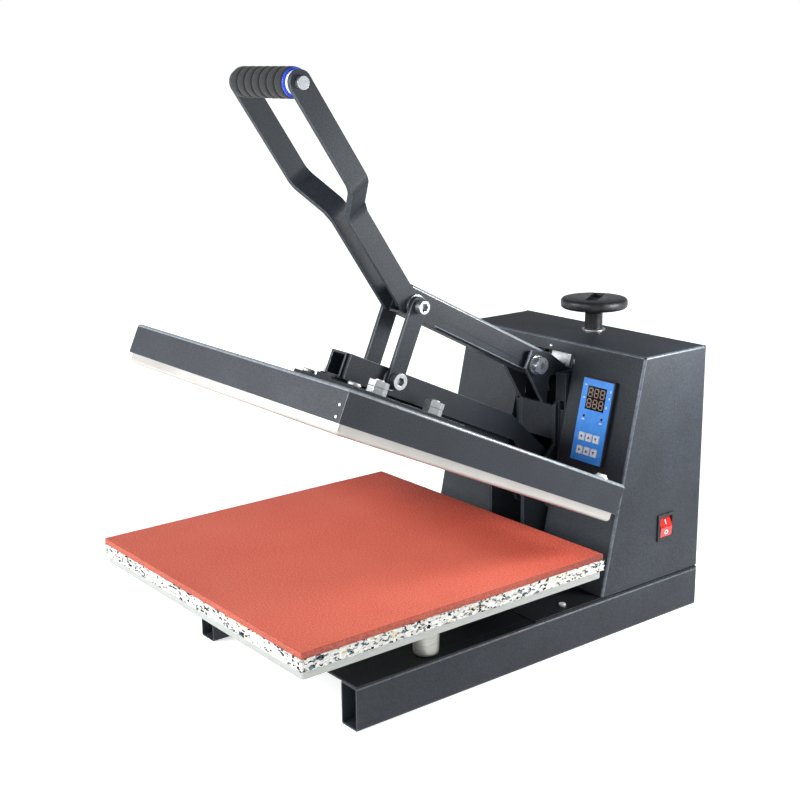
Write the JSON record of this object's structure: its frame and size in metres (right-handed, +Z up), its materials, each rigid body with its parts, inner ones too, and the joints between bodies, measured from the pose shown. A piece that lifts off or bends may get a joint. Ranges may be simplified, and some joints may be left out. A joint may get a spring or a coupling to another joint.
{
  "type": "flat heat press",
  "caption": "Clamshell flat heat press, open: square heated upper platen on a toggle lever, padded lower platen, rear housing with controller and pressure knob.",
  "frame": {"origin": "on the table, under the middle of the outer box of the open machine", "axes": "+Z up, the user stands on the -Y side, +X to the user's right"},
  "size_m": [0.384, 0.5962, 0.621],
  "materials": {
    "powder_coat": "fine-textured satin powder coat",
    "zinc_steel": "bright zinc plate",
    "bare_aluminium": "satin, as machined",
    "coated_aluminium": "pale non-stick coat",
    "silicone": "matte, fine-grained",
    "rebond_foam": "speckled bonded foam crumb",
    "grip_foam": "matte foam rubber",
    "insulation": "fibre board",
    "nylon": "satin",
    "blue_plastic": "semi-gloss",
    "black_plastic": "satin",
    "display": "smoked window",
    "lamp": "clear red lens",
    "pale_keys": "satin",
    "red_rocker": "gloss"
  },
  "bodies": {
    "frame": {"base_rail_left": "powder_coat", "base_rail_right": "powder_coat", "base_cross_tubes": "powder_coat", "deck_plate": "powder_coat", "housing_floor_pan": "powder_coat", "platen_posts": "bare_aluminium", "base_bolts": "zinc_steel", "lower_tray": "bare_aluminium", "foam_pad": "rebond_foam", "silicone_pad": "silicone", "housing_shell": "powder_coat", "back_panel": "powder_coat", "housing_screws": "zinc_steel", "mains_inlet": "black_plastic", "column_plate_left": "powder_coat", "column_plate_right": "powder_coat", "column_braces": "powder_coat", "bracket_guides": "nylon", "hinge_bolt": "zinc_steel", "lift_spring": "zinc_steel", "knob_washer": "zinc_steel", "controller_case": "black_plastic", "controller_face": "blue_plastic", "display_window": "display", "indicator_lamps": "lamp", "switch_bezel": "black_plastic", "solid_state_relay": "black_plastic"},
    "platen": {"heat_plate": "coated_aluminium", "heating_element": "zinc_steel", "insulation_board": "insulation", "platen_cover": "powder_coat", "cover_rivets": "zinc_steel", "platen_studs": "zinc_steel", "mounting_plate": "powder_coat", "plate_screws": "zinc_steel", "beam_tube": "powder_coat", "beam_cheeks": "powder_coat", "beam_cross_pins": "zinc_steel"},
    "bracket": {"pressure_bracket": "powder_coat", "bracket_stiffener": "zinc_steel", "arm_pivot_bolt": "zinc_steel"},
    "knob": {"pressure_screw": "zinc_steel", "pressure_knob": "powder_coat"},
    "lever": {"arm_tube": "powder_coat", "handle_bar_left": "powder_coat", "handle_bar_right": "powder_coat", "grip_rod": "zinc_steel", "grip_foam": "grip_foam", "grip_collar": "blue_plastic", "grip_end_ring": "nylon", "upper_link_bolt": "zinc_steel"},
    "links": {"toggle_links": "powder_coat", "lower_link_bolts": "zinc_steel"},
    "switch": {"power_rocker": "red_rocker"},
    "key_1": {"key_1": "pale_keys"},
    "key_2": {"key_2": "pale_keys"},
    "key_3": {"key_3": "pale_keys"},
    "key_4": {"key_4": "pale_keys"},
    "key_5": {"key_5": "pale_keys"},
    "key_6": {"key_6": "pale_keys"}
  },
  "joints": [
    {"name": "pressure_slide", "type": "slide", "parent": "frame", "child": "bracket", "axis": [0, 0, 1], "range_m": [0, 0.005]},
    {"name": "knob_turn", "type": "hinge", "parent": "bracket", "child": "knob", "pos_m": [0, 0.2586, 0.31], "axis": [0, 0, 1], "range_deg": [0, 1028.6]},
    {"name": "lever_hinge", "type": "hinge", "parent": "bracket", "child": "lever", "pos_m": [0, 0.1451, 0.288], "axis": [1, 0, 0], "range_deg": [0, 44.67]},
    {"name": "links_hinge", "type": "hinge", "parent": "lever", "child": "links", "pos_m": [0, -0.02758, 0.37598], "axis": [1, 0, 0], "range_deg": [-85.45, 0]},
    {"name": "platen_hinge", "type": "hinge", "parent": "frame", "child": "platen", "pos_m": [0, 0.1606, 0.128], "axis": [1, 0, 0], "range_deg": [0, 24.61], "stiffness_Nm_per_rad": 50, "springref_deg": -63.03, "deforming": ["lift_spring"]},
    {"name": "switch_rock", "type": "hinge", "parent": "frame", "child": "switch", "pos_m": [0.1445, 0.2306, 0.1083], "axis": [0, 1, 0], "range_deg": [0, 16]},
    {"name": "key_1_press", "type": "slide", "parent": "frame", "child": "key_1", "axis": [0, 0.9757, -0.2192], "range_m": [0, 0.0008], "stiffness_N_per_m": 800, "springref_m": -0.0008},
    {"name": "key_2_press", "type": "slide", "parent": "frame", "child": "key_2", "axis": [0, 0.9757, -0.2192], "range_m": [0, 0.0008], "stiffness_N_per_m": 800, "springref_m": -0.0008},
    {"name": "key_3_press", "type": "slide", "parent": "frame", "child": "key_3", "axis": [0, 0.9757, -0.2192], "range_m": [0, 0.0008], "stiffness_N_per_m": 800, "springref_m": -0.0008},
    {"name": "key_4_press", "type": "slide", "parent": "frame", "child": "key_4", "axis": [0, 0.9757, -0.2192], "range_m": [0, 0.0008], "stiffness_N_per_m": 800, "springref_m": -0.0008},
    {"name": "key_5_press", "type": "slide", "parent": "frame", "child": "key_5", "axis": [0, 0.9757, -0.2192], "range_m": [0, 0.0008], "stiffness_N_per_m": 800, "springref_m": -0.0008},
    {"name": "key_6_press", "type": "slide", "parent": "frame", "child": "key_6", "axis": [0, 0.9757, -0.2192], "range_m": [0, 0.0008], "stiffness_N_per_m": 800, "springref_m": -0.0008}
  ],
  "couplings": [
    {"joint": "knob_turn", "follows": "pressure_slide", "rad_per_m": 3590.4},
    {"joint": "links_hinge", "follows": "lever_hinge", "ratio": -1.9118},
    {"joint": "platen_hinge", "follows": "lever_hinge", "ratio": 0.55071}
  ]
}
